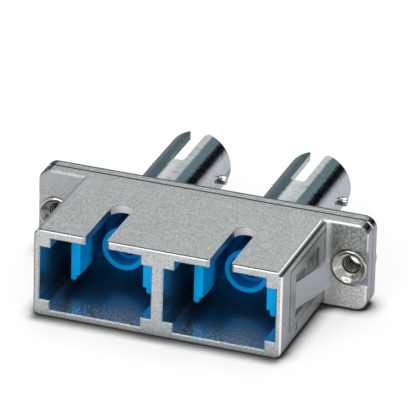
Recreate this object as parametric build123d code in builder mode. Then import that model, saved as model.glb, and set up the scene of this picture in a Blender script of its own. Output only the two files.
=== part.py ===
from build123d import *
import os

# Duplex fibre optic coupler: two square push-pull plug ports in front, two bayonet barrels behind.
# All sizes in millimetres. +X runs to the viewer's right, +Y from the ports to the barrels, +Z up.
# Depths are counted from the front face of the ports; the frame's origin lies on the underside,
# midway between the ports and midway along the overall depth.

# Driving dimensions
port_pitch = 12.7
hole_pitch = 30.5
overall_height = 9.2
box_width = 25.4
box_depth = 12.65
flange_end = 1.88
front_flange_thickness = 1.42
rear_flange_thickness = 1.36
flange_corner_radius = 1.2
barrel_radius = 3.4
barrel_length = 14.17
axis_drop = 0.06

# Ports: a tall narrow opening crossed by a low wide one
port_narrow_width = 9.32
port_upper_wall = 0.85
port_lower_wall = 0.69
port_wide_width = 11.46
port_notch_height = 1.0
port_lead_in = 0.12
key_slot_width = 2.22
key_slot_length = 8.2
key_slot_mouth_round = 0.3

# Edges of the castings
bottom_edge_round = 0.7
top_edge_round = 0.2
front_edge_bevel = 0.16
flange_edge_bevel = 0.22
seam_gap = 0.1
seam_inset = 0.18
rear_edge_bevel = 0.25

# Side springs and the hollows that hold them
spring_sheet = 0.25
spring_front = 2.45
spring_above_bottom = 1.8
spring_below_top = 1.0
spring_tail = 0.9
window_front = 4.2
window_rear = 10.9
window_rise = 0.8
window_drop = 1.0
tongue_rise = 0.85
tongue_drop = 0.9
tongue_reach = 10.3
tongue_lift = 1.45
side_notch_depth_along = 4.67
side_notch_width = 0.4
side_notch_height = 0.85

# Threaded inserts
insert_body_radius = 1.3
insert_head_radius = 1.8
insert_head_thickness = 0.4
insert_proud = 0.12
insert_funnel_radius = 1.5
insert_thread_radius = 0.8
insert_funnel_depth = 0.75
insert_pocket_half_width = 1.95

# Latch inserts
latch_plate_margin = 0.25
latch_front = 4.65
latch_outer = 4.18
latch_arm_thickness = 0.55
latch_arm_height = 5.05
latch_nose_reach = 0.7
latch_nose_ramp = 0.34
latch_nose_depth = 2.35
latch_ramp_depth = 1.7
latch_nose_height = 3.9
latch_nose_round = 0.62
latch_arm_round = 0.18
guide_tube_front = 8.0
guide_tube_radius = 2.25
guide_mouth_radius = 1.78
guide_mouth_depth = 1.6
guide_lip_radius = 1.45
guide_lip_thickness = 0.3

# Alignment sleeves and their rear retainers
sleeve_radius = 1.6
sleeve_bore_radius = 1.25
sleeve_length = 11.4
sleeve_split = 0.4
sleeve_play = 0.1
retainer_flange_radius = 2.6
retainer_flange_thickness = 0.6
retainer_tube_radius = 2.15
retainer_lip_thickness = 0.4

# Bayonet barrels
barrel_wall = 0.65
barrel_rim_bevel = 0.2
barrel_slot_width = 1.5
barrel_slot_depth = 7.1
barrel_slot_corner = 0.4
barrel_slot_flare = 0.28
barrel_slot_flare_depth = 0.8
pin_radius = 0.46
pin_tip_distance = 4.0
pin_from_rim = 3.2

# Named clearances
slide_clearance = 0.03
plate_clearance = 0.05
plug_ring_clearance = 0.3

# Places that follow from the sizes above
flange_width = hole_pitch + 2 * flange_end
axis_height = overall_height / 2 - axis_drop
seam_depth = box_depth + front_flange_thickness
rear_face_depth = seam_depth + rear_flange_thickness
rim_depth = rear_face_depth + barrel_length
middle_depth = rim_depth / 2
box_half = box_width / 2
port_narrow_bottom = port_lower_wall
port_narrow_top = overall_height - port_upper_wall
narrow_height = port_narrow_top - port_narrow_bottom
narrow_middle = (port_narrow_top + port_narrow_bottom) / 2
wide_height = narrow_height - 2 * port_notch_height
rebate_width = port_wide_width + 2 * latch_plate_margin
spring_bottom = spring_above_bottom
spring_top = overall_height - spring_below_top
window_bottom = spring_bottom + window_rise
window_top = spring_top - window_drop
tongue_bottom = window_bottom + tongue_rise
tongue_top = window_top - tongue_drop
barrel_bore_radius = barrel_radius - barrel_wall
sleeve_hold_radius = sleeve_radius + slide_clearance
guide_lip_front = guide_tube_front + guide_mouth_depth
sleeve_front = guide_lip_front + guide_lip_thickness + sleeve_play
sleeve_rear = sleeve_front + sleeve_length
retainer_end = sleeve_rear + retainer_lip_thickness
port_places = ((-port_pitch / 2, 0), (port_pitch / 2, 0))
hole_places = ((-hole_pitch / 2, axis_height), (hole_pitch / 2, axis_height))
barrel_places = ((-port_pitch / 2, axis_height), (port_pitch / 2, axis_height))


def upright(depth):
    """Upright plane across the coupler, facing the viewer, at a depth behind the front face."""
    return Plane.XZ.offset(middle_depth - depth)


def level(height):
    """Level plane at a height, with its second axis counted as depth from the front face."""
    return Plane((0, -middle_depth, height), x_dir=(1, 0, 0), z_dir=(0, 0, 1))


# Front housing: the ported box and its front flange, cast in one
with BuildPart() as front_housing:
    # Flange, a little smaller right at the seam, so that the joint shows as a fine line
    with BuildSketch(upright(seam_depth)):
        with Locations((0, overall_height / 2)):
            RectangleRounded(
                flange_width - 2 * seam_inset,
                overall_height - 2 * seam_inset,
                flange_corner_radius - seam_inset,
            )
    extrude(amount=front_flange_thickness)
    with BuildSketch(upright(seam_depth - seam_gap)):
        with Locations((0, overall_height / 2)):
            RectangleRounded(flange_width, overall_height, flange_corner_radius)
    extrude(amount=front_flange_thickness - seam_gap)
    chamfer(front_housing.faces().sort_by(Axis.Y)[0].outer_wire().edges(), flange_edge_bevel)

    # Box, running on through the flange and flush with it above and below
    with BuildSketch(upright(seam_depth - seam_gap)) as box_section:
        with Locations((0, overall_height / 2)):
            Rectangle(box_width, overall_height)
        corners = box_section.vertices().group_by(Axis.Z)
        fillet(corners[0], bottom_edge_round)
        fillet(corners[-1], top_edge_round)
    extrude(amount=seam_depth - seam_gap)
    chamfer(front_housing.faces().sort_by(Axis.Y)[0].outer_wire().edges(), front_edge_bevel)

    # Ports right through, with a small lead-in at the mouth
    with BuildSketch(upright(seam_depth)):
        with Locations(*port_places):
            with Locations((0, narrow_middle)):
                Rectangle(port_narrow_width, narrow_height)
                Rectangle(port_wide_width, wide_height)
    extrude(amount=seam_depth, mode=Mode.SUBTRACT)
    mouths = front_housing.faces().sort_by(Axis.Y)[0].inner_wires()
    chamfer(mouths.edges(), port_lead_in)

    # Rebate at the back of each port that takes the latch insert's plate
    with BuildSketch(upright(seam_depth)):
        with Locations(*port_places):
            with Locations((0, narrow_middle)):
                Rectangle(rebate_width, narrow_height)
    extrude(amount=front_flange_thickness, mode=Mode.SUBTRACT)

    # Key slots in the upper wall, open to the front, with a round end
    key_round = key_slot_width / 2
    key_straight = key_slot_length - key_round
    key_mouth = key_round + key_slot_mouth_round
    with BuildSketch(level(overall_height)):
        with Locations((-port_pitch / 2, 0), (port_pitch / 2, 0)):
            Polygon(
                (-key_mouth, 0),
                (key_mouth, 0),
                (key_round, key_slot_mouth_round),
                (key_round, key_straight),
                (-key_round, key_straight),
                (-key_round, key_slot_mouth_round),
                align=None,
            )
        with Locations((-port_pitch / 2, key_straight), (port_pitch / 2, key_straight)):
            Circle(key_round)
    extrude(amount=-(overall_height - axis_height), mode=Mode.SUBTRACT)

    # Shallow side recesses for the springs, running on into the flange
    spring_middle_height = (spring_top + spring_bottom) / 2
    spring_length = box_depth + spring_tail - spring_front
    spring_middle_depth = spring_front + spring_length / 2
    with BuildSketch(level(spring_bottom - plate_clearance)):
        with Locations(
            (-box_half + spring_sheet / 2, spring_middle_depth),
            (box_half - spring_sheet / 2, spring_middle_depth),
        ):
            Rectangle(spring_sheet, spring_length + 2 * plate_clearance)
    extrude(amount=spring_top - spring_bottom + 2 * plate_clearance, mode=Mode.SUBTRACT)

    # Small upright notches under the springs
    with BuildSketch(level(spring_bottom - side_notch_height)):
        with Locations((-box_half, side_notch_depth_along), (box_half, side_notch_depth_along)):
            Rectangle(2 * spring_sheet, side_notch_width)
    extrude(amount=side_notch_height, mode=Mode.SUBTRACT)

    # Shallow pockets for the insert heads, open to the ends of the flange
    pocket_depth = insert_head_thickness - insert_proud
    pocket_run = (flange_width - hole_pitch) / 2
    with BuildSketch(upright(box_depth)):
        with Locations(*hole_places):
            Circle(insert_pocket_half_width)
        with Locations(
            (-(hole_pitch + pocket_run) / 2, axis_height),
            ((hole_pitch + pocket_run) / 2, axis_height),
        ):
            Rectangle(pocket_run, 2 * insert_pocket_half_width)
    extrude(amount=-pocket_depth, mode=Mode.SUBTRACT)
    with BuildSketch(upright(seam_depth)):
        with Locations(*hole_places):
            Circle(insert_body_radius)
    extrude(amount=front_flange_thickness, mode=Mode.SUBTRACT)

# Rear housing: the rear flange and both bayonet barrels, cast in one
with BuildPart() as rear_housing:
    with BuildSketch(upright(rear_face_depth)):
        with Locations((0, overall_height / 2)):
            RectangleRounded(flange_width, overall_height, flange_corner_radius)
    extrude(amount=rear_flange_thickness)
    chamfer(rear_housing.faces().sort_by(Axis.Y)[-1].outer_wire().edges(), rear_edge_bevel)
    with BuildSketch(upright(rim_depth)):
        with Locations(*barrel_places):
            Circle(barrel_radius)
    extrude(amount=barrel_length)
    rims = rear_housing.faces().filter_by(Axis.Y).sort_by(Axis.Y)[-2:]
    chamfer(rims.edges(), barrel_rim_bevel)

    # Bayonet pins, two on each barrel
    pin_root = barrel_radius - barrel_wall / 2
    for barrel_x in (-port_pitch / 2, port_pitch / 2):
        for side in (-1, 1):
            with BuildSketch(Plane.YZ.offset(barrel_x + side * pin_root)):
                with Locations((rim_depth - pin_from_rim - middle_depth, axis_height)):
                    Circle(pin_radius)
            extrude(amount=side * (pin_tip_distance - pin_root))

    # Bores, narrower round the retainers, their seats and the holes for the inserts
    with BuildSketch(upright(rim_depth)):
        with Locations(*barrel_places):
            Circle(barrel_bore_radius)
    extrude(amount=rim_depth - retainer_end, mode=Mode.SUBTRACT)
    with BuildSketch(upright(rim_depth)):
        with Locations(*barrel_places):
            Circle(retainer_tube_radius + plug_ring_clearance)
    extrude(amount=barrel_length, mode=Mode.SUBTRACT)
    with BuildSketch(upright(rear_face_depth)):
        with Locations(*barrel_places):
            Circle(retainer_tube_radius + slide_clearance)
        with Locations(*hole_places):
            Circle(insert_body_radius)
    extrude(amount=rear_flange_thickness, mode=Mode.SUBTRACT)
    with BuildSketch(upright(seam_depth + retainer_flange_thickness)):
        with Locations(*barrel_places):
            Circle(retainer_flange_radius + slide_clearance)
    extrude(amount=retainer_flange_thickness, mode=Mode.SUBTRACT)

    # Key slots along the tops of the barrels, flared at the rim
    slot_front = rim_depth - barrel_slot_depth
    flare_front = rim_depth - barrel_slot_flare_depth
    slot_half = barrel_slot_width / 2
    with BuildSketch(level(axis_height)) as slot_section:
        with Locations((-port_pitch / 2, 0), (port_pitch / 2, 0)):
            Polygon(
                (-slot_half, slot_front),
                (slot_half, slot_front),
                (slot_half, flare_front),
                (slot_half + barrel_slot_flare, rim_depth),
                (-slot_half - barrel_slot_flare, rim_depth),
                (-slot_half, flare_front),
                align=None,
            )
        fillet(slot_section.vertices().group_by(Axis.Y)[0], barrel_slot_corner)
    extrude(amount=barrel_radius, mode=Mode.SUBTRACT)


# Threaded insert, clinched through both flanges, drawn about its own axis
insert_front = box_depth - insert_proud
insert_rear = rear_face_depth + insert_head_thickness
with BuildPart() as threaded_insert:
    with BuildSketch(upright(insert_rear)):
        Circle(insert_head_radius)
    extrude(amount=insert_head_thickness)
    with BuildSketch(upright(rear_face_depth)):
        Circle(insert_body_radius)
    extrude(amount=rear_face_depth - box_depth - pocket_depth)
    with BuildSketch(upright(box_depth + pocket_depth)):
        Circle(insert_head_radius)
    extrude(amount=insert_head_thickness)
    ends = threaded_insert.faces().filter_by(Axis.Y).sort_by(Axis.Y)
    chamfer(ends[0].edges(), insert_proud)
    chamfer(ends[-1].edges(), insert_proud)
    with BuildSketch(upright(insert_rear)):
        Circle(insert_thread_radius)
    extrude(amount=insert_rear - insert_front, mode=Mode.SUBTRACT)
    with BuildSketch(upright(insert_front)):
        Circle(insert_funnel_radius)
    extrude(
        amount=-insert_funnel_depth,
        taper=45,
        mode=Mode.SUBTRACT,
    )

# Latch insert: plate, two hooked arms and the tube that guides the sleeve, moulded in one
arm_middle = latch_outer - latch_arm_thickness / 2
nose_inner = latch_outer - latch_arm_thickness - latch_nose_reach
nose_rear = latch_front + latch_nose_depth
with BuildPart() as latch_insert:
    # Right-hand arm, then the nose of its hook with a ramp at the front, then both mirrored
    with BuildSketch(upright(box_depth)):
        with Locations((arm_middle, axis_height)):
            RectangleRounded(latch_arm_thickness, latch_arm_height, latch_arm_round)
    extrude(amount=box_depth - latch_front)
    with BuildSketch(upright(nose_rear)) as nose_section:
        with Locations(((nose_inner + arm_middle) / 2, axis_height)):
            Rectangle(arm_middle - nose_inner, latch_nose_height)
        fillet(nose_section.vertices().group_by(Axis.X)[0], latch_nose_round)
    extrude(amount=latch_nose_depth)
    with BuildSketch(level(axis_height - latch_nose_height / 2)):
        Polygon(
            (nose_inner, latch_front),
            (nose_inner + latch_nose_ramp, latch_front),
            (nose_inner, latch_front + latch_ramp_depth),
            align=None,
        )
    extrude(amount=latch_nose_height, mode=Mode.SUBTRACT)
    mirror(about=Plane.YZ)

    # Plate in the rebate of the front housing
    with BuildSketch(upright(seam_depth)):
        with Locations((0, narrow_middle)):
            Rectangle(rebate_width - 2 * plate_clearance, narrow_height - 2 * plate_clearance)
    extrude(amount=front_flange_thickness)

    # Guide tube: open mouth, inward lip, and the bore that holds the sleeve
    with BuildSketch(upright(box_depth)):
        with Locations((0, axis_height)):
            Circle(guide_tube_radius)
    extrude(amount=box_depth - guide_tube_front)
    with BuildSketch(upright(seam_depth)):
        with Locations((0, axis_height)):
            Circle(sleeve_hold_radius)
    extrude(amount=seam_depth - guide_lip_front - guide_lip_thickness, mode=Mode.SUBTRACT)
    with BuildSketch(upright(seam_depth)):
        with Locations((0, axis_height)):
            Circle(guide_lip_radius)
    extrude(amount=seam_depth - guide_tube_front, mode=Mode.SUBTRACT)
    with BuildSketch(upright(guide_lip_front)):
        with Locations((0, axis_height)):
            Circle(guide_mouth_radius)
    extrude(amount=guide_mouth_depth, mode=Mode.SUBTRACT)

# Alignment sleeve, split along its underside
with BuildPart() as alignment_sleeve:
    with BuildSketch(upright(sleeve_rear)):
        with Locations((0, axis_height)):
            Circle(sleeve_radius)
            Circle(sleeve_bore_radius, mode=Mode.SUBTRACT)
        with Locations((0, axis_height - sleeve_radius)):
            Rectangle(sleeve_split, sleeve_radius, mode=Mode.SUBTRACT)
    extrude(amount=sleeve_length)

# Retainer behind the sleeve: a flanged tube with an inward lip
with BuildPart() as sleeve_retainer:
    with BuildSketch(upright(retainer_end)):
        with Locations((0, axis_height)):
            Circle(retainer_tube_radius)
    extrude(amount=retainer_end - seam_depth)
    with BuildSketch(upright(seam_depth + retainer_flange_thickness)):
        with Locations((0, axis_height)):
            Circle(retainer_flange_radius)
    extrude(amount=retainer_flange_thickness)
    with BuildSketch(upright(sleeve_rear)):
        with Locations((0, axis_height)):
            Circle(sleeve_hold_radius)
    extrude(amount=sleeve_rear - seam_depth, mode=Mode.SUBTRACT)
    with BuildSketch(upright(retainer_end)):
        with Locations((0, axis_height)):
            Circle(guide_lip_radius)
    extrude(amount=retainer_end - seam_depth, mode=Mode.SUBTRACT)

# Side spring for the right-hand wall: a strip with a window, and a tongue bent out of it
with BuildPart() as side_spring:
    with BuildSketch(Plane.YZ.offset(box_half - spring_sheet)):
        with Locations((spring_middle_depth - middle_depth, spring_middle_height)):
            Rectangle(spring_length, spring_top - spring_bottom)
        with Locations(
            ((window_front + window_rear) / 2 - middle_depth, (window_top + window_bottom) / 2)
        ):
            Rectangle(window_rear - window_front, window_top - window_bottom, mode=Mode.SUBTRACT)
    extrude(amount=spring_sheet)
    with BuildSketch(level(tongue_bottom)):
        with BuildLine():
            Polyline(
                (box_half - spring_sheet, window_front),
                (box_half, window_front),
                (box_half + tongue_lift, tongue_reach - spring_sheet),
                (box_half + tongue_lift - spring_sheet, tongue_reach),
                close=True,
            )
        make_face()
    extrude(amount=tongue_top - tongue_bottom)

# Paired pieces, each set in its place
front_housing.part.label = "front_housing"
rear_housing.part.label = "rear_housing"
pairs = {}
for side_name, direction in (("left", -1), ("right", 1)):
    port_shift = Location((direction * port_pitch / 2, 0, 0))
    pairs["threaded_insert_" + side_name] = (
        Location((direction * hole_pitch / 2, 0, axis_height)) * threaded_insert.part
    )
    pairs["latch_insert_" + side_name] = port_shift * latch_insert.part
    pairs["alignment_sleeve_" + side_name] = port_shift * alignment_sleeve.part
    pairs["sleeve_retainer_" + side_name] = port_shift * sleeve_retainer.part
pairs["side_spring_right"] = side_spring.part
pairs["side_spring_left"] = mirror(side_spring.part, about=Plane.YZ)

os.makedirs("parts", exist_ok=True)
export_step(front_housing.part, "parts/front_housing.step")
export_step(rear_housing.part, "parts/rear_housing.step")
for piece_name, piece in pairs.items():
    piece.label = piece_name
    export_step(piece, "parts/" + piece_name + ".step")
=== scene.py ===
# %% [markdown]
# # A duplex fibre optic coupler
# Two square plug ports in front, two bayonet barrels behind, and a flange with a threaded insert
# at each end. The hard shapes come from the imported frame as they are. This script gives them
# their finishes, replaces the two inserts by turned pieces with a real thread, and sets up a
# white studio with the camera where the photographer stood.

# %% Load the frame
import math
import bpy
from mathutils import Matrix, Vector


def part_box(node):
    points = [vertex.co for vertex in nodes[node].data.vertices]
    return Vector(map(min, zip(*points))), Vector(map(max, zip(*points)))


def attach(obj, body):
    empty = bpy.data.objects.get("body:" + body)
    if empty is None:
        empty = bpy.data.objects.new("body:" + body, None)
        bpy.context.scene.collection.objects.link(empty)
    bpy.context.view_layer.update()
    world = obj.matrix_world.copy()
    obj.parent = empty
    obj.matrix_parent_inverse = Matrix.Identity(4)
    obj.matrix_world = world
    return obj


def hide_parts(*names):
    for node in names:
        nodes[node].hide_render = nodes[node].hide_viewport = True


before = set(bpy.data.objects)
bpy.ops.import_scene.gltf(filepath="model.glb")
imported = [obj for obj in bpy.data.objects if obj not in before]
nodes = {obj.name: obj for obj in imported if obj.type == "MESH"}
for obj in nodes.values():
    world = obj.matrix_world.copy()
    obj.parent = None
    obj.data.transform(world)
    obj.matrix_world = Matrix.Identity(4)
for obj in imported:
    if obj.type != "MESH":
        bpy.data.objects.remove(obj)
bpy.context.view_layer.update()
from types import SimpleNamespace
import bpy
import numpy as np
from mathutils import Matrix, Vector

scene = bpy.context.scene
MM = 0.001
print("nodes in the frame:", len(nodes))

# %% [markdown]
# ## Where things are
# The outer faces, the seam, the spring and the axes of the inserts are read from the frame. The
# faces of the flange, the half width of the box and the axes of the ports lie inside one casting,
# so they are written here as distances.

# %% Places read from the frame
front_low, front_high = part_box("front_housing")
rear_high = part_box("rear_housing")[1]
insert_low, insert_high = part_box("threaded_insert_right")
insert_axis = (insert_low + insert_high) / 2
spring_low, spring_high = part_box("side_spring_right")
FRONT_Y = front_low.y
SEAM_Y = front_high.y
TOP_Z = front_high.z
FLANGE_HALF = front_high.x
FLANGE_FRONT_Y = SEAM_Y - 1.42 * MM
FLANGE_REAR_Y = SEAM_Y + 1.36 * MM
BOX_HALF = 12.7 * MM
PORT_AXIS_X = 6.35 * MM
print("seam at y =", round(SEAM_Y / MM, 3), "mm, rims at y =", round(rear_high.y / MM, 3), "mm")

# %% [markdown]
# ## The camera
# A camera was fitted to the corners that show in the photograph. It stands a little over half
# a metre away, to the right of and above the coupler, and is turned slightly about its own axis.
# Its lens is long, so the picture has hardly any perspective.

# %% Camera
CAMERA_ELEVATION = math.radians(25.81)
CAMERA_AZIMUTH = math.radians(19.30)
CAMERA_ROLL = math.radians(1.49)
CAMERA_TARGET = Vector((2.494, -8.80, 11.970)) * MM
CAMERA_DISTANCE = 576.9 * MM
CAMERA_LENS = 529.4
SENSOR_WIDTH = 36.0
NEAREST_SEEN = 0.01
FARTHEST_SEEN = 10.0


def viewing_axes(azimuth, elevation, roll):
    """Right, up and back axes of a camera: back points from the target to the camera, and right
    and up are turned about it by the roll."""
    back = Vector((
        math.sin(azimuth) * math.cos(elevation),
        -math.cos(azimuth) * math.cos(elevation),
        math.sin(elevation),
    ))
    level_right = Vector((math.cos(azimuth), math.sin(azimuth), 0.0))
    level_up = back.cross(level_right)
    right = math.cos(roll) * level_right + math.sin(roll) * level_up
    up = -math.sin(roll) * level_right + math.cos(roll) * level_up
    return right, up, back


right_axis, up_axis, back_axis = viewing_axes(CAMERA_AZIMUTH, CAMERA_ELEVATION, CAMERA_ROLL)
camera_data = bpy.data.cameras.new("camera")
camera_data.lens = CAMERA_LENS
camera_data.sensor_width = SENSOR_WIDTH
camera_data.clip_start = NEAREST_SEEN
camera_data.clip_end = FARTHEST_SEEN
camera = bpy.data.objects.new("camera", camera_data)
scene.collection.objects.link(camera)
turn = Matrix((right_axis, up_axis, back_axis)).transposed().to_4x4()
camera.matrix_world = Matrix.Translation(CAMERA_TARGET + back_axis * CAMERA_DISTANCE) @ turn
scene.camera = camera
print("camera at", [round(c, 4) for c in camera.location])

# %% [markdown]
# ## Small helpers for materials
# A finish is a chain of nodes. These helpers keep the chains short: they add a node with its
# settings, feed a socket, start a material with a Principled shader whose plain values sit on its
# own sockets, and give a point's coordinates, noises, colour ramps and relief.

# %% Material helpers


def add_node(tree, kind, **values):
    """A node of that kind in the tree. Values named after a property set it, and the others set
    the input of that name, with _ for a space."""
    node = tree.nodes.new(kind)
    for name, value in values.items():
        if hasattr(node, name):
            setattr(node, name, value)
        else:
            node.inputs[name.replace("_", " ")].default_value = value
    return node


def feed(tree, socket, value):
    """Gives a socket another node's output, a plain number or a colour of three parts."""
    if isinstance(value, (int, float)):
        socket.default_value = value
    elif isinstance(value, tuple):
        socket.default_value = (*value, 1.0)
    else:
        tree.links.new(value, socket)


def start_material(name, colour, metallic, roughness):
    """A material with one Principled shader, and the tree and shader to build on."""
    material = bpy.data.materials.new(name)
    material.use_nodes = True
    tree = material.node_tree
    shader = tree.nodes["Principled BSDF"]
    shader.inputs["Base Color"].default_value = (*colour, 1.0)
    shader.inputs["Metallic"].default_value = metallic
    shader.inputs["Roughness"].default_value = roughness
    return material, tree, shader


def coordinates(tree):
    """Each point's place in the object's own frame, in metres, and its three coordinates."""
    place = add_node(tree, "ShaderNodeTexCoord").outputs["Object"]
    axes = add_node(tree, "ShaderNodeSeparateXYZ")
    tree.links.new(place, axes.inputs["Vector"])
    return place, axes.outputs["X"], axes.outputs["Y"], axes.outputs["Z"]


def ramp(tree, source, stops):
    """A colour ramp fed by source, with (place, colour) stops."""
    node = tree.nodes.new("ShaderNodeValToRGB")
    elements = node.color_ramp.elements
    while len(elements) < len(stops):
        elements.new(0.5)
    for element, (place, colour) in zip(elements, stops):
        element.position = place
        element.color = (*colour, 1.0)
    tree.links.new(source, node.inputs["Fac"])
    return node.outputs["Color"]


def noise(tree, place, scale, detail=4.0, roughness=0.6):
    """Cloud-like values from 0 to 1 at that many cells per metre."""
    node = add_node(tree, "ShaderNodeTexNoise", Scale=scale, Detail=detail, Roughness=roughness)
    tree.links.new(place, node.inputs["Vector"])
    return node.outputs["Fac"]


def stretched_noise(tree, place, scales, detail):
    """Noise at its own number of cells per metre along each axis, which gives lines or rings."""
    stretch = add_node(tree, "ShaderNodeMapping")
    stretch.inputs["Scale"].default_value = scales
    tree.links.new(place, stretch.inputs["Vector"])
    return noise(tree, stretch.outputs["Vector"], 1.0, detail)


def bump(tree, shader, height, strength, distance):
    """Feeds a height to the shader's normal, as relief that deep in metres."""
    node = add_node(tree, "ShaderNodeBump", Strength=strength, Distance=distance)
    tree.links.new(height, node.inputs["Height"])
    tree.links.new(node.outputs["Normal"], shader.inputs["Normal"])


# %% [markdown]
# ## Sums and shares
# Most of a finish is decided by where a point lies. A share is a value that is 1 in one zone and 0
# outside it, some with a soft rim. Shares are multiplied where zones overlap, and a blend then
# takes one value or colour where its share is 0 and the other where it is 1.

# %% Sums and shares


def math_node(tree, operation, first, second=0.0, clamp=False):
    """One sum, product or comparison of two values or outputs."""
    node = add_node(tree, "ShaderNodeMath", operation=operation, use_clamp=clamp)
    feed(tree, node.inputs[0], first)
    feed(tree, node.inputs[1], second)
    return node.outputs["Value"]


def times_plus(tree, value, factor, added, clamp=False):
    """value times factor, plus added."""
    result = math_node(tree, "MULTIPLY_ADD", value, factor, clamp)
    feed(tree, result.node.inputs[2], added)
    return result


def total(tree, values):
    """The sum of some outputs."""
    result = values[0]
    for value in values[1:]:
        result = math_node(tree, "ADD", result, value)
    return result


def product(tree, values):
    """The product of some outputs."""
    result = values[0]
    for value in values[1:]:
        result = math_node(tree, "MULTIPLY", result, value)
    return result


def either(tree, first, second):
    """The larger of two shares."""
    return math_node(tree, "MAXIMUM", first, second)


def outside_of(tree, share):
    """1 where a share is 0, and 0 where it is 1."""
    return math_node(tree, "SUBTRACT", 1.0, share)


def over(tree, value, edge):
    """1 where value is greater than edge, else 0."""
    return math_node(tree, "GREATER_THAN", value, edge)


def under(tree, value, edge):
    """1 where value is less than edge, else 0."""
    return math_node(tree, "LESS_THAN", value, edge)


def band(tree, value, low, width):
    """1 from low on over a width, else 0."""
    return product(tree, [over(tree, value, low), under(tree, value, low + width)])


def distance(tree, value, place):
    """How far value is from a place along one axis."""
    return math_node(tree, "ABSOLUTE", math_node(tree, "SUBTRACT", value, place))


def soft_step(tree, value, low, high):
    """0 below low, 1 above high, and a smooth rise between."""
    node = add_node(tree, "ShaderNodeMapRange", interpolation_type="SMOOTHSTEP")
    tree.links.new(value, node.inputs["Value"])
    node.inputs["From Min"].default_value = low
    node.inputs["From Max"].default_value = high
    return node.outputs["Result"]


def open_around(tree, reach, samples):
    """1 in the open, falling to 0 where faces nearer than reach close a point in."""
    node = add_node(tree, "ShaderNodeAmbientOcclusion", samples=samples)
    node.inputs["Distance"].default_value = reach
    return node.outputs["AO"]


def blend_values(tree, share, first, second):
    """first where share is 0 and second where it is 1."""
    node = add_node(tree, "ShaderNodeMix", data_type="FLOAT")
    for socket, value in (("Factor", share), ("A", first), ("B", second)):
        feed(tree, node.inputs[socket], value)
    return node.outputs["Result"]


def blend_colours(tree, share, first, second):
    """The same for colours, which may be outputs or plain colours."""
    node = add_node(tree, "ShaderNodeMix", data_type="RGBA")
    feed(tree, node.inputs["Factor"], share)
    colour_inputs = [i for i in node.inputs if i.type == "RGBA"]
    for socket, value in zip(colour_inputs, (first, second)):
        feed(tree, socket, value)
    return [o for o in node.outputs if o.type == "RGBA"][0]


# %% [markdown]
# ## Nickel plated casting
# The zinc castings are tumbled and then plated. The skin is metal with a fine, sandy grain: it
# mirrors nothing sharp, and looks an even light grey with tiny lighter and darker specks. One
# noise at the size of the grain drives both the colour and the relief.
#
# Where a point lies on the casting decides the rest, so the first step is to find that out: how
# far it is from the middle and from the axis of the nearer port, and whether it is on the box, on
# the face of the flange, on the rim or behind the flange.

# %% Large zones of the castings
FACE_MARGIN = 0.1 * MM
RIM_START = 0.12 * MM
BEHIND_START = 0.05 * MM
WORN_WIDTH = 0.165 * MM
CAST_GRAIN = 5600.0
COARSE_GRAIN = 4200.0
CLOUD_GRAIN = 500.0
PATCH_GRAIN = 900.0


def near(tree, value, place):
    """1 within the edge width of a place along one axis, else 0."""
    return under(tree, distance(tree, value, place), WORN_WIDTH)


def casting_places(tree):
    """A point's coordinates and noises, and the large zones that it may lie in."""
    place, x, y, z = coordinates(tree)
    at = SimpleNamespace(x=x, y=y, z=z)
    at.sideways = math_node(tree, "ABSOLUTE", x)
    at.from_axis = distance(tree, at.sideways, PORT_AXIS_X)
    at.on_right = over(tree, x, 0.0)
    at.on_box = under(tree, y, FLANGE_FRONT_Y - FACE_MARGIN)
    at.on_face = product(tree, [
        near(tree, y, FLANGE_FRONT_Y), over(tree, at.sideways, BOX_HALF + FACE_MARGIN)
    ])
    at.rim = over(tree, y, FLANGE_FRONT_Y + RIM_START)
    at.behind = over(tree, y, FLANGE_REAR_Y + BEHIND_START)
    at.grain = noise(tree, place, CAST_GRAIN, 3.0, 0.55)
    at.coarse = noise(tree, place, COARSE_GRAIN, 4.0, 0.6)
    at.cloud = noise(tree, place, CLOUD_GRAIN, 3.0)
    at.patches = noise(tree, place, PATCH_GRAIN, 4.0, 0.6)
    return at


# %% [markdown]
# ## Inside the ports
# The walls of a port lie round its axis, from just behind the front face to just before the back
# of the flange. The key slot above counts as inside too, and the round wall at its end is painted
# as a pale, lit crescent. Near the mouth the grain of the port's floor is painted with bright
# glints.

# %% Zones of the ports
PORT_REACH = 5.85 * MM
PORT_BOTTOM = 0.55 * MM
PORT_TOP = 8.45 * MM
PORT_MARGIN = 0.1 * MM
SLOT_REACH = 1.18 * MM
SLOT_END_REACH = 1.3 * MM
SLOT_BOTTOM = TOP_Z - 1.0 * MM
SLOT_TOP = TOP_Z - 0.04 * MM
SLOT_LENGTH = 7.2 * MM
SLOT_END_LENGTH = 1.2 * MM
SLOT_END_BOTTOM = TOP_Z - 0.95 * MM
SLOT_END_HEIGHT = 0.87 * MM
SPARKLE_START = 0.4 * MM
SPARKLE_END = 4.5 * MM
SPARKLE_TOP = 1.0 * MM


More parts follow.
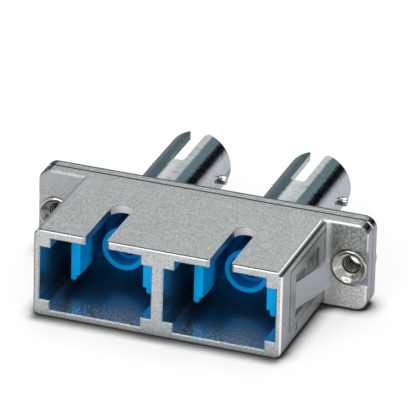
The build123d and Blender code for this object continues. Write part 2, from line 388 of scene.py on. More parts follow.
def port_zones(tree, at):
    """Adds the inside of the ports and slots, the slot's end, and the painted glints by the mouth.
    """
    in_port = product(tree, [
        under(tree, at.from_axis, PORT_REACH),
        over(tree, at.z, PORT_BOTTOM),
        under(tree, at.z, PORT_TOP),
        over(tree, at.y, FRONT_Y + PORT_MARGIN),
        under(tree, at.y, FLANGE_REAR_Y - PORT_MARGIN),
    ])
    in_slot = product(tree, [
        under(tree, at.from_axis, SLOT_REACH),
        over(tree, at.z, SLOT_BOTTOM),
        under(tree, at.z, SLOT_TOP),
        under(tree, at.y, FRONT_Y + SLOT_LENGTH),
    ])
    at.inside = either(tree, in_port, in_slot)
    at.slot_end = product(tree, [
        under(tree, at.from_axis, SLOT_END_REACH),
        band(tree, at.z, SLOT_END_BOTTOM, SLOT_END_HEIGHT),
        band(tree, at.y, FRONT_Y + SLOT_LENGTH, SLOT_END_LENGTH),
    ])
    by_mouth = outside_of(
        tree, soft_step(tree, at.y, FRONT_Y + SPARKLE_START, FRONT_Y + SPARKLE_END)
    )
    at.sparkle = product(tree, [
        by_mouth, under(tree, at.z, SPARKLE_TOP), soft_step(tree, at.coarse, 0.45, 0.62)
    ])


# %% [markdown]
# ## Edges and joints
# An edge is where two outer faces meet, so a point that is near two of them at once lies on a
# bevel, which is painted bright as a highlight. The joint between the castings, the far edge of
# the rim and the lines beside the bevels of the box are painted dark, as shade. The round of the
# flange's upper corners has a painted dark reflection, with the joint as a painted white highlight
# line in it, and the right-hand edge of the box has a thin painted white highlight. The left edge
# of the box has painted shade.

# %% Zones along the edges
TWO_FACES = 1.5
OUTLINE_DEPTH = 0.12 * MM
CORNER_DEPTH = 0.75 * MM
CORNER_WIDTH = 1.0 * MM
SEAM_CORE = 0.07 * MM
SEAM_EDGE = 0.19 * MM
FAR_EDGE_START = 0.62 * MM
FAR_EDGE_END = 0.35 * MM
TOP_SKIN = 0.08 * MM
FRONT_LINE_START = 0.09 * MM
FRONT_LINE_WIDTH = 0.10 * MM
SIDE_LINE_REACH = 0.36 * MM
SIDE_LINE_DEPTH = 0.42 * MM
SIDE_LINE_WIDTH = 0.22 * MM
SHINE_REACH = 0.6 * MM
SHINE_DEPTH = 0.10 * MM
SHINE_WIDTH = 0.05 * MM
LEFT_EDGE_WIDTH = 0.2 * MM
LEFT_FLANGE_START = 5.0 * MM


def edge_zones(tree, at):
    """Adds the bevels and the painted shade, dark reflections and highlights along the edges."""
    at.worn = over(tree, total(tree, [
        near(tree, at.z, TOP_Z),
        product(tree, [near(tree, at.x, BOX_HALF), outside_of(tree, at.rim)]),
        near(tree, at.sideways, FLANGE_HALF),
        near(tree, at.y, FRONT_Y),
        at.on_face,
    ]), TWO_FACES)
    outline = over(tree, at.z, TOP_Z - OUTLINE_DEPTH)
    # The round of the flange's upper corners gets a painted dark reflection.
    at.corner = product(tree, [
        outside_of(tree, outline),
        over(tree, at.z, TOP_Z - CORNER_DEPTH),
        over(tree, at.sideways, FLANGE_HALF - CORNER_WIDTH),
        at.rim,
    ])
    from_seam = distance(tree, at.y, SEAM_Y)
    at_seam = outside_of(tree, soft_step(tree, from_seam, SEAM_CORE, SEAM_EDGE))
    far_edge = soft_step(
        tree, at.y, FLANGE_REAR_Y - FAR_EDGE_START, FLANGE_REAR_Y - FAR_EDGE_END
    )
    joint = product(tree, [either(tree, at_seam, far_edge), outline])
    behind_front_edge = product(tree, [
        over(tree, at.z, TOP_Z - TOP_SKIN),
        band(tree, at.y, FRONT_Y + FRONT_LINE_START, FRONT_LINE_WIDTH),
    ])
    under_side_edge = product(tree, [
        over(tree, at.x, BOX_HALF - SIDE_LINE_REACH),
        band(tree, at.z, TOP_Z - SIDE_LINE_DEPTH, SIDE_LINE_WIDTH),
        at.on_box,
    ])
    side_shine = product(tree, [
        over(tree, at.x, BOX_HALF - SHINE_REACH),
        band(tree, at.z, TOP_Z - SHINE_DEPTH, SHINE_WIDTH),
        at.on_box,
    ])
    # The joint, the rim's far edge, and the lines behind the front edge and under the side edge
    # are painted dark as shade.
    at.dark_line = total(tree, [joint, behind_front_edge, under_side_edge])
    # Painted white highlights: the joint across the dark corners, and a thin line along the box's
    # right top edge.
    at.white_line = either(tree, product(tree, [at_seam, at.corner]), side_shine)
    # The leftmost strip of the box gets painted shade.
    at.left_edge = product(tree, [under(tree, at.x, LEFT_EDGE_WIDTH - BOX_HALF), at.on_box])
    at.left_flange = product(tree, [
        under(tree, at.x, 0.0), over(tree, at.y, FRONT_Y + LEFT_FLANGE_START)
    ])


# %% [markdown]
# ## Tones of the casting
# Each zone has its own range of tones, all driven by the same grain. The face of the flange has
# painted light and shade: pale low down and close to the box, darker above, and flatter on the
# left. The metal that shows through the spring's window is mottled with painted reflection and
# shade. The ports have a painted blue reflection of the mouldings, with painted shade in the
# depth, and the barrels are smooth and bright, with painted shade on the stems of their pins.

# %% Colours of the casting
CAST_DARK = (0.30, 0.315, 0.32)
CAST_COLOUR = (0.46, 0.48, 0.485)
CAST_LIGHT = (0.66, 0.68, 0.68)
# The flange face's tones are painted light and shade: pale low down and by the box, dark above,
# flatter on the left.
HIGH_FACE_DARK = (0.09, 0.10, 0.085)
HIGH_FACE_LIGHT = (0.62, 0.64, 0.61)
LOW_FACE_DARK = (0.40, 0.42, 0.40)
LOW_FACE_LIGHT = (0.98, 0.98, 0.96)
LEFT_FACE_DARK = (0.32, 0.33, 0.335)
LEFT_FACE_LIGHT = (0.48, 0.495, 0.50)
FACE_BY_BOX = (0.80, 0.81, 0.79)
# Painted reflection and shade in the spring's window, mottled by a noise.
WINDOW_DARK = (0.19, 0.21, 0.19)
WINDOW_LIGHT = (0.66, 0.70, 0.62)
# Painted blue reflection of the mouldings, painted shade deep in the ports, and painted glints.
PORT_DARK = (0.28, 0.42, 0.50)
PORT_LIGHT = (0.46, 0.62, 0.73)
PORT_DEEP = (0.27, 0.36, 0.39)
PORT_SPARKLE = (0.86, 0.88, 0.90)
BARREL_DARK = (0.65, 0.68, 0.70)
BARREL_LIGHT = (0.79, 0.81, 0.82)
# Painted shade on the pins' stems.
PIN_STEM = (0.08, 0.085, 0.09)
PIN_END = (0.62, 0.63, 0.63)
# Painted shade on the box's left edge.
LEFT_EDGE = (0.26, 0.27, 0.28)
# Bevels are painted bright as highlights, and less bright on the left flange.
WORN_BRIGHT = (0.90, 0.91, 0.91)
WORN_LEFT = (0.50, 0.51, 0.51)
# Painted shade for the dark lines along the joint and the edges.
DARK_LINE = (0.06, 0.065, 0.07)
# Painted dark reflection on the flange's upper corners.
DARK_CORNER = (0.16, 0.18, 0.19)
WHITE = (1.0, 1.0, 1.0)
# The slot's round end is painted pale, as lit.
SLOT_END = (0.62, 0.62, 0.61)
# Painted shade in crevices.
CREVICE = (0.36, 0.38, 0.38)
PATCH_SHARE = 0.22
CREVICE_REACH = 0.5 * MM

# %% Tones of the flange and the skin
FACE_LOW_Z = 1.5 * MM
FACE_HIGH_Z = 7.0 * MM
BY_BOX_START = 0.2 * MM
BY_BOX_END = 0.9 * MM


def skin_tone(tree, at):
    """The grey of the skin with its grain and patches, and the painted light and shade of the
    flange's face.
    """
    speckle = blend_values(tree, at.on_face, at.grain, at.coarse)
    mixed = times_plus(tree, at.patches, PATCH_SHARE, speckle)
    tone = ramp(tree, mixed, [(0.36, CAST_DARK), (0.58, CAST_COLOUR), (0.82, CAST_LIGHT)])
    high = ramp(tree, mixed, [(0.42, HIGH_FACE_DARK), (0.80, HIGH_FACE_LIGHT)])
    low = ramp(tree, mixed, [(0.42, LOW_FACE_DARK), (0.80, LOW_FACE_LIGHT)])
    left = ramp(tree, mixed, [(0.40, LEFT_FACE_DARK), (0.78, LEFT_FACE_LIGHT)])
    at.face_height = soft_step(tree, at.z, FACE_LOW_Z, FACE_HIGH_Z)
    at.from_box = soft_step(tree, at.sideways, BOX_HALF + BY_BOX_START, BOX_HALF + BY_BOX_END)
    right = blend_colours(tree, at.face_height, low, high)
    right = blend_colours(tree, at.from_box, FACE_BY_BOX, right)
    face = blend_colours(tree, at.on_right, left, right)
    return blend_colours(tree, at.on_face, tone, face)


# %% Tones of the window, the ports and the barrels
RECESS_DEPTH = 0.32 * MM
RECESS_MARGIN = 0.12 * MM
WINDOW_START = 4.0 * MM
WINDOW_LENGTH = 7.1 * MM
WINDOW_BOTTOM = 2.5 * MM
WINDOW_HEIGHT = 4.8 * MM
PORT_DEEP_START = 3.0 * MM
PORT_DEEP_END = 8.0 * MM
BARREL_SKIN = 3.42 * MM
STEM_END = 3.45 * MM
PIN_TIP = 3.85 * MM


def window_tone(tree, at, tone):
    """The floor of the side recess where the spring's window shows it, mottled with painted
    reflection and shade.
    """
    in_window = product(tree, [
        band(tree, at.sideways, BOX_HALF - RECESS_DEPTH, RECESS_MARGIN),
        band(tree, at.y, FRONT_Y + WINDOW_START, WINDOW_LENGTH),
        band(tree, at.z, WINDOW_BOTTOM, WINDOW_HEIGHT),
    ])
    mottled = ramp(tree, at.patches, [(0.38, WINDOW_DARK), (0.62, WINDOW_LIGHT)])
    return blend_colours(tree, in_window, tone, mottled)


def port_tone(tree, at):
    """Metal with a painted blue reflection, turning to painted shade in the depth, with painted
    glints by the mouth.
    """
    tone = ramp(tree, at.grain, [(0.3, PORT_DARK), (0.7, PORT_LIGHT)])
    depth = soft_step(tree, at.y, FRONT_Y + PORT_DEEP_START, FRONT_Y + PORT_DEEP_END)
    tone = blend_colours(tree, depth, tone, PORT_DEEP)
    return blend_colours(tree, at.sparkle, tone, PORT_SPARKLE)


def barrel_tone(tree, at):
    """Bright, faintly patched barrels, and pins with painted shade on the stem and a grey end."""
    tone = ramp(tree, at.patches, [(0.3, BARREL_DARK), (0.7, BARREL_LIGHT)])
    pins = product(tree, [at.behind, over(tree, at.from_axis, BARREL_SKIN)])
    pin_end = soft_step(tree, at.from_axis, STEM_END, PIN_TIP)
    return blend_colours(tree, pins, tone, blend_colours(tree, pin_end, PIN_STEM, PIN_END))


def cast_colour(tree, at):
    """All tones laid over each other, with painted shade where a point is hemmed in."""
    tone = blend_colours(tree, at.left_edge, skin_tone(tree, at), LEFT_EDGE)
    tone = window_tone(tree, at, tone)
    # The bevels' bright colour is a painted highlight.
    worn_tone = blend_colours(tree, at.left_flange, WORN_BRIGHT, WORN_LEFT)
    tone = blend_colours(tree, at.worn, tone, worn_tone)
    tone = blend_colours(tree, at.dark_line, tone, DARK_LINE)
    tone = blend_colours(tree, at.corner, tone, DARK_CORNER)
    tone = blend_colours(tree, at.white_line, tone, WHITE)
    tone = blend_colours(tree, at.inside, tone, port_tone(tree, at))
    tone = blend_colours(tree, at.slot_end, tone, SLOT_END)
    tone = blend_colours(tree, at.behind, tone, barrel_tone(tree, at))
    # Painted shade: an ambient occlusion node darkens the colour where faces close in.
    openness = soft_step(tree, open_around(tree, CREVICE_REACH, 8), 0.15, 0.85)
    return blend_colours(tree, openness, CREVICE, tone)


# %% [markdown]
# ## Smoothness and relief of the casting
# The bevels mirror most sharply, then the barrels, the rim and the ports, and last the sandy
# skin. A part of the skin counts as not metal, which keeps it pale where it mirrors something
# dark. The barrels have slow waves in place of the grain.

# %% Roughness, metal share and relief
CAST_ROUGHNESS = 0.34
WORN_ROUGHNESS = 0.07
RIM_ROUGHNESS = 0.15
BARREL_ROUGHNESS = 0.10
PORT_ROUGHNESS = 0.30
ROUGHNESS_SPREAD = 0.10
CAST_METALLIC = 0.72
PALE_METALLIC = 0.35
WAVE_PATCHES = 2.0
WAVE_GRAIN = 0.3
RELIEF_STRENGTH = 0.45
RELIEF_DEPTH = 0.02 * MM


def cast_roughness(tree, at):
    """Each zone's roughness. The skin's and the barrels' spread about theirs with a noise."""
    half_spread = ROUGHNESS_SPREAD / 2
    skin = times_plus(tree, at.cloud, ROUGHNESS_SPREAD, CAST_ROUGHNESS - half_spread)
    barrels = times_plus(tree, at.patches, ROUGHNESS_SPREAD, BARREL_ROUGHNESS - half_spread)
    rough = blend_values(tree, at.rim, skin, RIM_ROUGHNESS)
    rough = blend_values(tree, at.worn, rough, WORN_ROUGHNESS)
    rough = blend_values(tree, at.inside, rough, PORT_ROUGHNESS)
    return blend_values(tree, at.behind, rough, barrels)


def cast_metal_share(tree, at):
    """Metal on the rim and in the ports, part metal on the skin and sparks, less on the pale
    part of the flange's face, and none on the white lines and the slot's end."""
    in_ports = blend_values(tree, at.sparkle, 1.0, CAST_METALLIC)
    metallic = blend_values(tree, at.inside, CAST_METALLIC, in_ports)
    dark_part = product(tree, [at.face_height, at.from_box])
    pale_face = product(tree, [at.on_face, at.on_right, outside_of(tree, dark_part)])
    metallic = blend_values(tree, pale_face, metallic, PALE_METALLIC)
    metallic = blend_values(tree, at.rim, metallic, 1.0)
    return blend_values(tree, either(tree, at.white_line, at.slot_end), metallic, 0.0)


def cast_relief(tree, at):
    """The grain as a height, coarser on the flange's face, and slow waves on the barrels."""
    fine = math_node(tree, "MULTIPLY", at.coarse, WAVE_GRAIN)
    waves = times_plus(tree, at.patches, WAVE_PATCHES, fine)
    grain = blend_values(tree, at.on_face, at.grain, at.coarse)
    return blend_values(tree, at.behind, grain, waves)


def cast_finish():
    """The plated casting: zones first, then what each of them makes of colour and relief."""
    material, tree, shader = start_material("nickel plated casting", CAST_COLOUR, 1.0, 0.4)
    at = casting_places(tree)
    port_zones(tree, at)
    edge_zones(tree, at)
    tree.links.new(cast_colour(tree, at), shader.inputs["Base Color"])
    tree.links.new(cast_roughness(tree, at), shader.inputs["Roughness"])
    tree.links.new(cast_metal_share(tree, at), shader.inputs["Metallic"])
    bump(tree, shader, cast_relief(tree, at), RELIEF_STRENGTH, RELIEF_DEPTH)
    return material


cast_metal = cast_finish()
print(cast_metal.name, "has", len(cast_metal.node_tree.nodes), "nodes")

# %% [markdown]
# ## Bright metals
# The inserts are turned and plated bright, with faint rings from the lathe. The side springs are
# cut from rolled strip, whose fine lines run along the strip. Rings come from the distance to an
# axis, lines from one coordinate squeezed in the other directions.

# %% Insert finish
INSERT_COLOUR = (0.78, 0.75, 0.70)
INSERT_DARK = (0.62, 0.60, 0.55)
INSERT_LIGHT = (0.80, 0.785, 0.73)
THREAD_ROOT = (0.025, 0.022, 0.016)
INSERT_ROUGHNESS = 0.15
BORE_ROUGHNESS = 0.38
BORE_REACH = 0.93 * MM
ROOT_START = 0.83 * MM
ROOT_END = 0.87 * MM
ROOT_REACH = 1.02 * MM
THREAD_START = 0.92 * MM
RING_SCALES = (600.0, 26000.0, 600.0)
METAL_RELIEF = 0.01 * MM


def insert_finish():
    """Bright turned nickel, slightly warm, with painted shade in the roots of the thread, and fine
    rings that follow the cut."""
    material, tree, shader = start_material(
        "bright nickel insert", INSERT_COLOUR, 1.0, INSERT_ROUGHNESS
    )
    place, x, y, z = coordinates(tree)
    cloud = noise(tree, place, 3000.0, 3.0)
    tone = ramp(tree, cloud, [(0.3, INSERT_DARK), (0.7, INSERT_LIGHT)])
    aside = math_node(tree, "SUBTRACT", math_node(tree, "ABSOLUTE", x), insert_axis.x)
    above = math_node(tree, "SUBTRACT", z, insert_axis.z)
    radius = math_node(tree, "SQRT", total(tree, [
        product(tree, [aside, aside]), product(tree, [above, above])
    ]))
    # Painted shade in the roots of the thread.
    in_root = product(tree, [
        soft_step(tree, radius, ROOT_START, ROOT_END),
        under(tree, radius, ROOT_REACH),
        over(tree, y, insert_low.y + THREAD_START),
    ])
    in_bore = under(tree, radius, BORE_REACH)
    rough = blend_values(tree, in_bore, INSERT_ROUGHNESS, BORE_ROUGHNESS)
    tree.links.new(rough, shader.inputs["Roughness"])
    tree.links.new(blend_colours(tree, in_root, tone, THREAD_ROOT), shader.inputs["Base Color"])
    bump(tree, shader, stretched_noise(tree, place, RING_SCALES, 2.0), 0.25, METAL_RELIEF)
    return material


insert_metal = insert_finish()
print("finish for the inserts:", insert_metal.name)

# %% Spring finish
SPRING_COLOUR = (0.60, 0.61, 0.61)
SPRING_DARK = (0.50, 0.51, 0.535)
SPRING_LIGHT = (0.63, 0.64, 0.665)
SPRING_BORDER = (0.05, 0.055, 0.06)
FRONT_BORDER = 0.12 * MM
TOP_BORDER = 0.14 * MM
STRIP_SCALES = (300.0, 300.0, 14000.0)


def spring_finish():
    """Rolled spring strip: satin steel with fine lines along its length, and a painted line of
    shade at its front and top edges, where it meets the casting."""
    material, tree, shader = start_material("rolled spring steel", SPRING_COLOUR, 1.0, 0.3)
    place, _, y, z = coordinates(tree)
    lines = stretched_noise(tree, place, STRIP_SCALES, 3.0)
    tone = ramp(tree, lines, [(0.3, SPRING_DARK), (0.7, SPRING_LIGHT)])
    # Painted shade along the front and top edges.
    border = either(
        tree,
        under(tree, y, spring_low.y + FRONT_BORDER),
        over(tree, z, spring_high.z - TOP_BORDER),
    )
    tree.links.new(blend_colours(tree, border, tone, SPRING_BORDER), shader.inputs["Base Color"])
    bump(tree, shader, lines, 0.3, METAL_RELIEF)
    return material


spring_metal = spring_finish()
print("finish for the springs:", spring_metal.name)

# %% [markdown]
# ## Plastics and ceramic
# The latch inserts are moulded in a saturated blue plastic with a satin skin. The sleeves are
# white polished ceramic and the retainers black moulding. Each has a faint cloudiness, a fine
# relief, and painted shade where it is hemmed in and deep in the ports. What metal mirrors of them
# stays lighter.

# %% Plastic and ceramic finishes
HEMMED_REACH = 4.0 * MM
DEPTH_SHARE = 0.30
DEPTH_START = 6.0 * MM
DEPTH_END = 8.0 * MM
MIRRORED_OPENNESS = 0.7
SKIN_GRAIN = 12000.0
MOULDED_RELIEF = 0.008 * MM
POLISHED_RELIEF = 0.001 * MM


def moulded_finish(name, dark, light, deep, roughness, grain_depth, sheen):
    """A soft change from dark to light, turning to the painted shade colour where the piece is
    hemmed in or deep, with a fine relief of that depth and that much of a mirroring sheen."""
    material, tree, shader = start_material(name, light, 0.0, roughness)
    shader.inputs["Specular IOR Level"].default_value = sheen
    place, _, y, _ = coordinates(tree)
    tone = ramp(tree, noise(tree, place, 260.0, 3.0), [(0.3, dark), (0.7, light)])
    # Painted shade deep in the ports and where faces close in, less of it for glossy rays.
    in_depth = soft_step(tree, y, FRONT_Y + DEPTH_START, FRONT_Y + DEPTH_END)
    shallow = outside_of(tree, math_node(tree, "MULTIPLY", in_depth, DEPTH_SHARE))
    in_the_open = soft_step(tree, open_around(tree, HEMMED_REACH, 8), 0.05, 0.75)
    path = add_node(tree, "ShaderNodeLightPath")
    mirrored = math_node(tree, "MULTIPLY", path.outputs["Is Glossy Ray"], MIRRORED_OPENNESS)
    openness = either(tree, product(tree, [in_the_open, shallow]), mirrored)
    tree.links.new(blend_colours(tree, openness, deep, tone), shader.inputs["Base Color"])
    bump(tree, shader, noise(tree, place, SKIN_GRAIN, 2.0), 0.3, grain_depth)
    return material


blue_plastic = moulded_finish(
    "satin blue moulding", (0.0, 0.38, 0.84), (0.0, 0.45, 0.96), (0.0, 0.12, 0.42),
    0.42, MOULDED_RELIEF, 0.06,
)
black_plastic = moulded_finish(
    "black moulding", (0.018, 0.018, 0.020), (0.030, 0.030, 0.032), (0.01, 0.01, 0.012),
    0.45, MOULDED_RELIEF, 0.4,
)
ceramic = moulded_finish(
    "polished ceramic", (0.80, 0.80, 0.76), (0.88, 0.88, 0.85), (0.50, 0.50, 0.48),
    0.15, POLISHED_RELIEF, 0.5,
)

# %% Finishes put on the frame's nodes
FINISHES = {
    "front_housing": cast_metal,
    "rear_housing": cast_metal,
    "side_spring": spring_metal,
    "latch_insert": blue_plastic,
    "alignment_sleeve": ceramic,
    "sleeve_retainer": black_plastic,
}
for node_name, node in nodes.items():
    for start, finish in FINISHES.items():
        if node_name.startswith(start):
            node.data.materials.clear()
            node.data.materials.append(finish)
            print(node_name, "->", finish.name)

# %% [markdown]
# ## Threaded inserts
# Each real insert is a turned tube whose ends are flared over the flanges. In the photograph the
# flare, a funnel and the first turns of the thread show. A lathe profile carried round the axis
# makes all of it in one closed surface, and in the threaded part the radius also rises and falls
# with a phase that follows the angle, which turns plain rings into a true helix.

# %% A closed lathe surface


def lathe_mesh(name, radius, along, centre, around):
    """A mesh from two arrays of the same grid: row i, column j is a point at that radius, turned
    by angle j about the Y axis through centre, and that far along Y. The last column joins the
    first, and the last row joins the first, so the surface is a closed ring."""
    rows = radius.shape[0]
    angle = np.linspace(0.0, 2.0 * np.pi, around, endpoint=False)
    x = centre.x + radius * np.cos(angle)
    z = centre.z + radius * np.sin(angle)
    points = np.stack([x, along, z], axis=-1).reshape(-1, 3)
    i, j = np.meshgrid(np.arange(rows), np.arange(around), indexing="ij")
    below, beside = (i + 1) % rows, (j + 1) % around
    quads = np.stack(
        [i * around + j, i * around + beside, below * around + beside, below * around + j],
        axis=-1,
    ).reshape(-1, 4)
    mesh = bpy.data.meshes.new(name)
    mesh.from_pydata(points.tolist(), [], quads.tolist())
    mesh.validate()
    mesh.shade_smooth()
    piece = bpy.data.objects.new(name, mesh)
    scene.collection.objects.link(piece)
    return piece


# %% [markdown]
# ## The profile of an insert
# The profile is four short outlines, each of pairs of a radius and a distance along Y, both in
# millimetres. They are counted from the front of the collar, the front face, the rear face and the
# back of the flange, in the order in which the lathe would follow them. The thread lies between
# the second and the third.

# %% Insert profile
THREAD_PITCH = 0.4 * MM
THREAD_DEPTH = 0.2 * MM
THREAD_RADIUS = 0.90 * MM
THREAD_EASE = 0.15 * MM
THREAD_FRONT = 0.86 * MM
THREAD_REAR = 0.2 * MM
COLLAR_BEFORE_SEAM = 1.14 * MM
AROUND = 96
ALONG_THREAD = 140
COLLAR = [(1.30, 0.0), (1.62, 0.0), (1.76, -0.03), (1.80, -0.12)]
FLARE_AND_FUNNEL = [
    (1.79, 0.10), (1.74, 0.03), (1.67, 0.0), (1.62, 0.01), (1.57, 0.05), (1.51, 0.13),
    (1.44, 0.24), (1.36, 0.34), (1.27, 0.43), (1.17, 0.50), (1.07, 0.57), (0.98, 0.66),
    (0.92, 0.76), (0.90, 0.85),
]
REAR_END = [(1.02, -0.12), (1.12, 0.0), (1.66, 0.0), (1.76, -0.04), (1.80, -0.12)]
REAR_COLLAR = [(1.80, 0.04), (1.76, 0.0), (1.30, 0.0)]


def outline_rows(points, start):
    """A part of the profile as rows of radius and Y in metres, counted from start."""
    return np.array([(radius * MM, start + along * MM) for radius, along in points])


def thread_rows(start, end):
    """Y and radius along the thread, one row for each step along Y and one column for each angle.
    The radius rises and falls as a tooth whose phase grows with Y and falls with the angle, and
    the tooth fades in and out at both ends."""
    along = np.linspace(start, end, ALONG_THREAD)[:, None]
    angle = np.linspace(0.0, 2.0 * np.pi, AROUND, endpoint=False)
    phase = (along / THREAD_PITCH - angle / (2.0 * np.pi)) % 1.0
    tooth = 1.0 - np.abs(2.0 * phase - 1.0)
    from_end = np.minimum(along - along[0], along[-1] - along)
    ease = np.clip(from_end / THREAD_EASE, 0.0, 1.0)
    return along, THREAD_RADIUS + THREAD_DEPTH * (0.5 - tooth) * ease


def insert_piece(node_name, name):
    """The turned insert in the place of a node: its outside profile, then back through the bore
    with the thread as a wave in the radius."""
    low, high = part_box(node_name)
    outside = np.vstack([
        outline_rows(COLLAR, SEAM_Y - COLLAR_BEFORE_SEAM), outline_rows(FLARE_AND_FUNNEL, low.y)
    ])
    tail = np.vstack([
        outline_rows(REAR_END, high.y), outline_rows(REAR_COLLAR, FLANGE_REAR_Y)
    ])
    thread_y, thread_radius = thread_rows(low.y + THREAD_FRONT, high.y - THREAD_REAR)
    every_angle = np.ones(AROUND)
    radius = np.vstack([outside[:, :1] * every_angle, thread_radius, tail[:, :1] * every_angle])
    along = np.vstack([
        outside[:, 1:] * every_angle, thread_y * every_angle, tail[:, 1:] * every_angle
    ])
    piece = lathe_mesh(name, radius, along, (low + high) / 2, AROUND)
    piece.data.materials.append(insert_metal)
    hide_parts(node_name)
    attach(piece, "root")
    turns = (thread_y[-1, 0] - thread_y[0, 0]) / THREAD_PITCH
    print(name, "turns of thread:", round(float(turns), 1))
    return piece


insert_piece("threaded_insert_left", "turned_insert_left")
insert_piece("threaded_insert_right", "turned_insert_right")

# %% [markdown]
# ## Floor
# The coupler stands on white paper. The paper looks white because a share of what the camera sees
# on it is its own glow, and the rest is the light that falls on it, so a shadow stays. That shadow
# is tight: an ambient occlusion node tells how hemmed in a point of the paper is, and both the
# glow and the paper's colour fall with it. Along the front it is deeper, as the light comes from
# behind. Metal mirrors the paper too, and there it is darker behind the coupler than before it,
# and darkest far back on the left.

# %% Floor
FLOOR_HALF = 1.2
FLOOR_DROP = 0.02 * MM
floor_mesh = bpy.data.meshes.new("floor")
floor_corners = [
    (-FLOOR_HALF, -FLOOR_HALF, 0), (FLOOR_HALF, -FLOOR_HALF, 0),
    (FLOOR_HALF, FLOOR_HALF, 0), (-FLOOR_HALF, FLOOR_HALF, 0),
]
floor_mesh.from_pydata(floor_corners, [], [(0, 1, 2, 3)])
floor = bpy.data.objects.new("floor", floor_mesh)
scene.collection.objects.link(floor)
floor.location.z = -FLOOR_DROP

# %% Paper
FLOOR_GLOW = 0.62
PAPER = (0.94, 0.94, 0.94)
PAPER_SHADE = (0.05, 0.05, 0.05)
MIRRORED_BEFORE = (0.80, 0.81, 0.82)
MIRRORED_BEHIND = (0.50, 0.51, 0.545)
MIRRORED_FAR_LEFT = (0.10, 0.145, 0.165)
MIRRORED_SHADE = (0.20, 0.20, 0.20)
BEHIND_FROM = (-16 * MM, -11 * MM)
FAR_LEFT_FROM = (16 * MM, 26 * MM)
CONTACT_REACH = 1.8 * MM
CONTACT_GAIN = 1.9
FRONT_SHADE = 0.82
FRONT_SHADE_START = 2.1 * MM
FRONT_SHADE_END = 0.2 * MM
FRONT_SHADE_UNDER = 2.0 * MM
FRONT_SHADE_SIDES = (12.2 * MM, 13.4 * MM)


def open_paper(tree, x, y):
    """1 on open paper, falling to 0 at the coupler's foot, and lower in the strip before it."""
    openness = open_around(tree, CONTACT_REACH, 16)
    openness = times_plus(tree, openness, CONTACT_GAIN, 1.0 - CONTACT_GAIN, clamp=True)
    before_it = product(tree, [
        soft_step(tree, y, FRONT_Y - FRONT_SHADE_START, FRONT_Y - FRONT_SHADE_END),
        outside_of(tree, soft_step(tree, math_node(tree, "ABSOLUTE", x), *FRONT_SHADE_SIDES)),
        under(tree, y, FRONT_Y + FRONT_SHADE_UNDER),
    ])
    dimmed = math_node(tree, "MULTIPLY", before_it, FRONT_SHADE)
    return product(tree, [openness, outside_of(tree, dimmed)])


def mirrored_paper(tree, x, y):
    """The colour that metal mirrors of open paper."""
    far_left = product(tree, [soft_step(tree, y, *FAR_LEFT_FROM), under(tree, x, 0.0)])
    behind = soft_step(tree, y, *BEHIND_FROM)
    colour = blend_colours(tree, behind, MIRRORED_BEFORE, MIRRORED_BEHIND)
    return blend_colours(tree, far_left, colour, MIRRORED_FAR_LEFT)


def floor_finish():
    """White paper, with some glow for the camera, and other colours for what metal mirrors."""
    material, tree, shader = start_material("white paper", PAPER, 0.0, 0.9)
    _, x, y, _ = coordinates(tree)
    path = add_node(tree, "ShaderNodeLightPath")
    openness = open_paper(tree, x, y)
    seen = blend_colours(tree, openness, PAPER_SHADE, PAPER)
    mirrored = blend_colours(tree, openness, MIRRORED_SHADE, mirrored_paper(tree, x, y))
    colour = blend_colours(tree, path.outputs["Is Glossy Ray"], seen, mirrored)
    tree.links.new(colour, shader.inputs["Base Color"])
    glow = add_node(tree, "ShaderNodeEmission", Strength=1.0)
    glow.inputs["Color"].default_value = (*WHITE, 1.0)
    glowing = math_node(tree, "MULTIPLY", openness, FLOOR_GLOW)
    mix = add_node(tree, "ShaderNodeMixShader")
    tree.links.new(
        math_node(tree, "MULTIPLY", path.outputs["Is Camera Ray"], glowing), mix.inputs["Fac"]
    )
    tree.links.new(shader.outputs["BSDF"], mix.inputs[1])
    tree.links.new(glow.outputs["Emission"], mix.inputs[2])
    tree.links.new(mix.outputs["Shader"], tree.nodes["Material Output"].inputs["Surface"])
    return material


floor_mesh.materials.append(floor_finish())
print("floor with", floor_mesh.materials[0].name)

# %% [markdown]
# ## Lamps
# A broad lamp stands above and behind, and one of about the same strength is low in front on the
# left and lights the faces of the ports. Most of the light comes from the world, in the cell after
# this.

# %% Lamps
LAMP_AIM = (0, 0, 5 * MM)


def lamp(name, place, size, power):
    """A square soft lamp at a place, turned to the coupler, with a power in watts."""
    data = bpy.data.lights.new(name, "AREA")
    data.shape = "SQUARE"
    data.size = size
    data.energy = power
    light = bpy.data.objects.new(name, data)
    scene.collection.objects.link(light)
    light.location = Vector(place)
    light.rotation_mode = "QUATERNION"
    light.rotation_quaternion = (Vector(LAMP_AIM) - Vector(place)).to_track_quat("-Z", "Y")
    print("lamp", name, "of", power, "W")


lamp("key", (-0.05, 0.22, 0.60), 0.40, 1.2)
lamp("front fill", (-0.16, -0.60, 0.28), 0.35, 1.4)

# %% [markdown]
# ## What the metal mirrors
# Soft light comes evenly from the whole world, but what metal mirrors has edges: a pale panel
# behind the coupler, dark to the left of it, a teal and then a black screen to the right that is
# soft grey low down, and a gap above them, up to a bright ring overhead. Straight above it is
# greyer, and before the coupler is a dim room. Those edges make the stripes along the barrels and
# the thin bright lines on the bevels. They are plain functions of the direction, and only glossy
# rays see them.

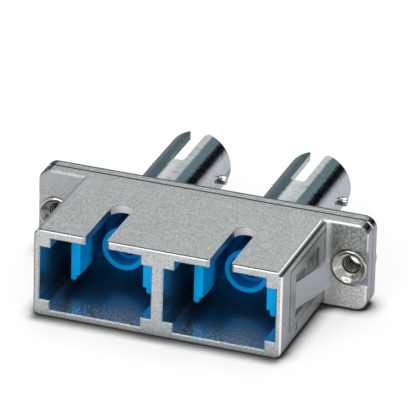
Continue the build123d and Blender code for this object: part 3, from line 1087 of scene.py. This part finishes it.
# %% Colours and edges of the mirrored world
WORLD_LIGHT = 0.85
PANEL = (0.78, 0.80, 0.80)
OVERHEAD = (1.5, 1.52, 1.53)
ZENITH = (0.60, 0.61, 0.62)
GAP = (0.16, 0.17, 0.18)
TEAL = (0.15, 0.225, 0.25)
DARK_LEFT = (0.10, 0.145, 0.165)
BLACK = (0.002, 0.003, 0.004)
SOFT_GREY = (0.44, 0.45, 0.50)
FRONT_ROOM = (0.50, 0.51, 0.52)
GREY_TO_BLACK = (0.02, 0.17)
LEFT_TO_PANEL = (-0.40, -0.33)
PANEL_TO_TEAL = (0.09, 0.14)
TEAL_TO_BLACK = (0.35, 0.39)
PANEL_TO_GAP = (0.50, 0.58)
GAP_TO_OVERHEAD = (0.78, 0.86)
ROOM_TO_OVERHEAD = (0.80, 0.86)
OVERHEAD_TO_ZENITH = (0.955, 0.975)
FRONT_TO_BACK = (-0.15, 0.05)

# %% World
world = bpy.data.worlds.new("studio")
scene.world = world
world.use_nodes = True
world_tree = world.node_tree
world_tree.nodes.clear()


def background(colour, strength):
    """A background of one colour, plain or from an output."""
    node = add_node(world_tree, "ShaderNodeBackground", Strength=strength)
    feed(world_tree, node.inputs["Color"], colour)
    return node.outputs["Background"]


def choose(ray, otherwise, chosen):
    """One background for rays of that kind, and another otherwise."""
    mix = add_node(world_tree, "ShaderNodeMixShader")
    path = add_node(world_tree, "ShaderNodeLightPath")
    world_tree.links.new(path.outputs[ray], mix.inputs["Fac"])
    world_tree.links.new(otherwise, mix.inputs[1])
    world_tree.links.new(chosen, mix.inputs[2])
    return mix.outputs["Shader"]


def change(part, edge, before, after):
    """The colour before, and from the edge on along one part of the direction the one after."""
    return blend_colours(world_tree, soft_step(world_tree, part, *edge), before, after)


direction = add_node(world_tree, "ShaderNodeTexCoord").outputs["Generated"]
parts = add_node(world_tree, "ShaderNodeSeparateXYZ")
world_tree.links.new(direction, parts.inputs["Vector"])
x_part, y_part, z_part = (parts.outputs[axis] for axis in "XYZ")
low_right = change(z_part, GREY_TO_BLACK, SOFT_GREY, BLACK)
behind_it = change(x_part, LEFT_TO_PANEL, DARK_LEFT, PANEL)
behind_it = change(x_part, PANEL_TO_TEAL, behind_it, TEAL)
behind_it = change(x_part, TEAL_TO_BLACK, behind_it, low_right)
behind_it = change(z_part, PANEL_TO_GAP, behind_it, GAP)
behind_it = change(z_part, GAP_TO_OVERHEAD, behind_it, OVERHEAD)
before_it = change(z_part, ROOM_TO_OVERHEAD, FRONT_ROOM, OVERHEAD)
mirror_colour = change(y_part, FRONT_TO_BACK, before_it, behind_it)
mirror_colour = change(z_part, OVERHEAD_TO_ZENITH, mirror_colour, ZENITH)
by_kind = choose("Is Glossy Ray", background(WHITE, WORLD_LIGHT), background(mirror_colour, 1.0))
by_kind = choose("Is Camera Ray", by_kind, background(WHITE, 1.0))
world_out = add_node(world_tree, "ShaderNodeOutputWorld")
world_tree.links.new(by_kind, world_out.inputs["Surface"])
print("the world has", len(world_tree.nodes), "nodes")

# %% [markdown]
# ## Colours as they are written
# The standard view transform shows a colour as it was computed, without a film curve.

# %% View transform
scene.view_settings.view_transform = "Standard"
